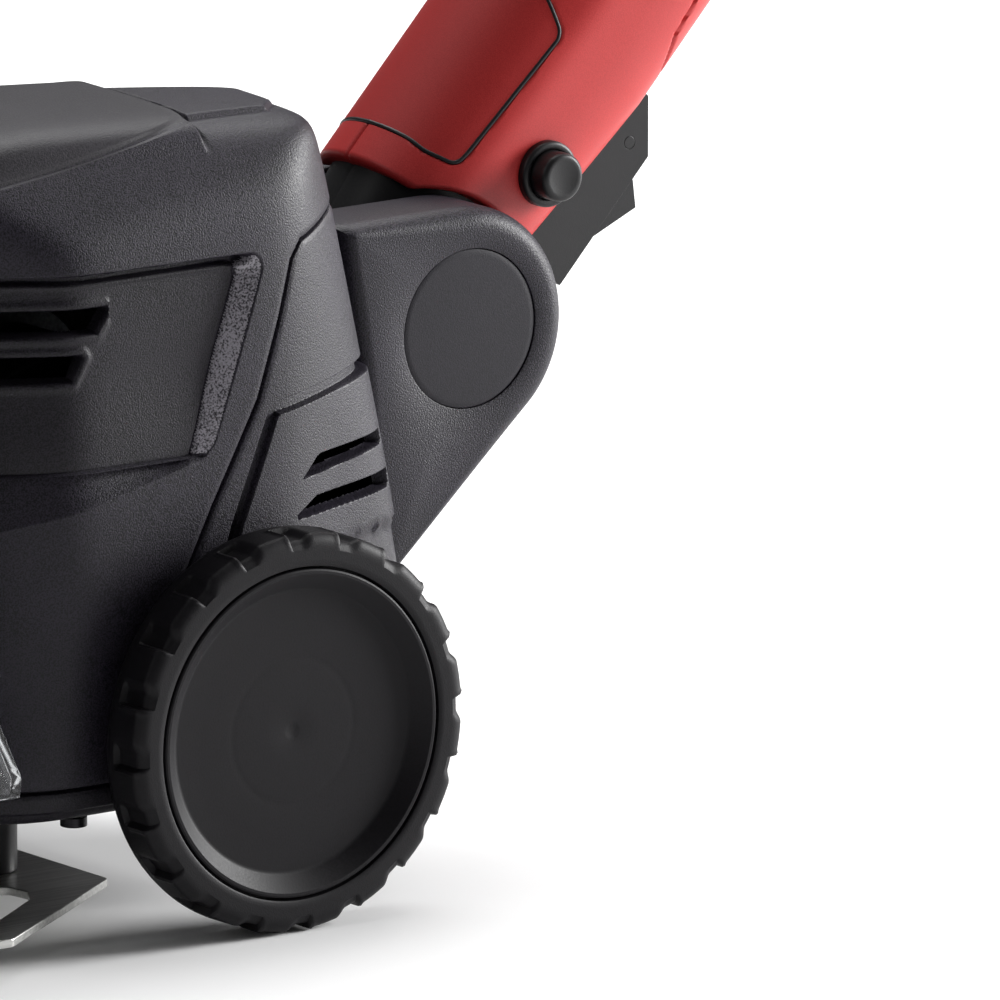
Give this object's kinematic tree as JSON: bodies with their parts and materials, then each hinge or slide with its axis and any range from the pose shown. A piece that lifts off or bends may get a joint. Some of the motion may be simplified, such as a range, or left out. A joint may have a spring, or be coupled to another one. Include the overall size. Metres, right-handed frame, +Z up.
{
  "type": "lawn edger",
  "caption": "Battery lawn edger: wheeled motor head with belt-driven side blade under a clear guard, tilting telescopic handle with trigger grip and front handle.",
  "frame": {"origin": "on the ground under the middle of the machine's length and width, with the handle at its rest angle", "axes": "+X to the machine's left (side of the blade), -Y forward, +Z up"},
  "size_m": [0.2, 0.9836, 0.8089],
  "materials": {
    "charcoal_plastic": "fine spark-eroded texture",
    "smooth_plastic": "smooth satin",
    "black_plastic": "satin",
    "red_plastic": "soft satin",
    "deep_red_plastic": "soft satin",
    "wheel_plastic": "satin",
    "hub_plastic": "satin",
    "clear_plastic": "clear polycarbonate",
    "brushed_steel": "brushed lengthwise",
    "bright_steel": "turned and polished",
    "motor_steel": "zinc-grey can",
    "copper_winding": "varnished copper",
    "belt_rubber": "matt",
    "bush_nylon": "natural nylon",
    "tube_aluminium": "satin anodised"
  },
  "bodies": {
    "head": {"front_shell_left": "charcoal_plastic", "front_shell_right": "charcoal_plastic", "rear_shell": "charcoal_plastic", "top_cap": "charcoal_plastic", "vent_panel_left": "charcoal_plastic", "vent_panel_right": "charcoal_plastic", "base_tray": "black_plastic", "base_screws": "bright_steel", "motor_can": "motor_steel", "motor_bearings": "bright_steel", "belt_case": "black_plastic", "belt_cover": "black_plastic", "drive_belt": "belt_rubber", "spindle_bearings": "bright_steel", "blade_guard": "clear_plastic", "guide_plate": "brushed_steel", "guide_posts": "black_plastic", "axle": "bright_steel", "axle_bushes": "bush_nylon", "axle_clips": "bright_steel", "pivot_bracket": "charcoal_plastic", "pivot_cap_left": "smooth_plastic", "pivot_cap_right": "smooth_plastic", "pivot_pin": "bright_steel"},
    "rotor": {"motor_shaft": "bright_steel", "armature": "copper_winding", "motor_fan": "black_plastic", "motor_pulley": "brushed_steel"},
    "cutter": {"spindle": "bright_steel", "spindle_pulley": "brushed_steel", "inner_flange": "brushed_steel", "blade": "brushed_steel", "outer_flange": "brushed_steel", "blade_nut": "bright_steel"},
    "left_wheel": {"wheel_left": "wheel_plastic", "hub_cap_left": "hub_plastic"},
    "right_wheel": {"wheel_right": "wheel_plastic", "hub_cap_right": "hub_plastic"},
    "lower_handle": {"handle_neck": "black_plastic", "lower_shell_left": "red_plastic", "lower_shell_right": "red_plastic", "inlay_left": "deep_red_plastic", "inlay_right": "deep_red_plastic", "button_ring": "black_plastic", "button_spring": "bright_steel", "underside_cover": "black_plastic", "outer_tube": "tube_aluminium", "tube_collar": "black_plastic"},
    "button": {"side_button": "black_plastic"},
    "foot_lever": {"tilt_lever": "black_plastic"},
    "clamp_lever": {"collar_lever": "red_plastic"},
    "upper_handle": {"inner_tube": "tube_aluminium", "upper_shell_left": "smooth_plastic", "upper_shell_right": "smooth_plastic", "aux_clamp": "black_plastic"},
    "trigger": {"trigger": "red_plastic"},
    "lock_off": {"lock_off": "red_plastic"},
    "battery_pack": {"battery": "smooth_plastic"},
    "front_handle": {"aux_handle": "smooth_plastic"},
    "knob": {"aux_knob": "red_plastic"}
  },
  "joints": [
    {"name": "left_wheel_spin", "type": "hinge", "parent": "head", "child": "left_wheel", "pos_m": [0.0915, -0.2188, 0.06], "axis": [1, 0, 0], "continuous": true},
    {"name": "right_wheel_spin", "type": "hinge", "parent": "head", "child": "right_wheel", "pos_m": [-0.0915, -0.2188, 0.06], "axis": [1, 0, 0], "continuous": true},
    {"name": "blade_spin", "type": "hinge", "parent": "head", "child": "cutter", "pos_m": [0.066, -0.40381, 0.086], "axis": [1, 0, 0], "continuous": true},
    {"name": "rotor_spin", "type": "hinge", "parent": "head", "child": "rotor", "pos_m": [0, -0.26381, 0.15], "axis": [1, 0, 0], "continuous": true},
    {"name": "handle_tilt", "type": "hinge", "parent": "head", "child": "lower_handle", "pos_m": [0, -0.1208, 0.16], "axis": [1, 0, 0], "range_deg": [-35, 20]},
    {"name": "release_button", "type": "slide", "parent": "lower_handle", "child": "button", "axis": [-1, 0, 0], "range_m": [0, 0.004], "stiffness_N_per_m": 800, "springref_m": -0.003},
    {"name": "release_lever", "type": "hinge", "parent": "lower_handle", "child": "foot_lever", "pos_m": [0, -0.03587, 0.19976], "axis": [1, 0, 0], "range_deg": [-8, 0], "stiffness_Nm_per_rad": 0.6, "springref_deg": 11.46},
    {"name": "tube_clamp", "type": "hinge", "parent": "lower_handle", "child": "clamp_lever", "pos_m": [0, 0.11917, 0.39975], "axis": [1, 0, 0], "range_deg": [0, 100]},
    {"name": "telescope", "type": "slide", "parent": "lower_handle", "child": "upper_handle", "axis": [0, 0.682, 0.7314], "range_m": [-0.12, 0.09]},
    {"name": "trigger_pull", "type": "hinge", "parent": "upper_handle", "child": "trigger", "pos_m": [0, 0.3335, 0.64426], "axis": [1, 0, 0], "range_deg": [0, 8], "stiffness_Nm_per_rad": 0.6, "springref_deg": -14.32},
    {"name": "lock_off_press", "type": "slide", "parent": "upper_handle", "child": "lock_off", "axis": [0, 0.7314, -0.682], "range_m": [0, 0.003], "stiffness_N_per_m": 600, "springref_m": -0.003},
    {"name": "battery_slide", "type": "slide", "parent": "upper_handle", "child": "battery_pack", "axis": [0, 0.682, 0.7314], "range_m": [0, 0.09]},
    {"name": "front_handle_tilt", "type": "hinge", "parent": "upper_handle", "child": "front_handle", "pos_m": [0, 0.21968, 0.58085], "axis": [1, 0, 0], "range_deg": [-40, 50]},
    {"name": "knob_turn", "type": "hinge", "parent": "front_handle", "child": "knob", "pos_m": [0.03, 0.21968, 0.58085], "axis": [1, 0, 0], "range_deg": [0, 180]}
  ],
  "couplings": [
    {"joint": "rotor_spin", "follows": "blade_spin", "ratio": 3}
  ]
}
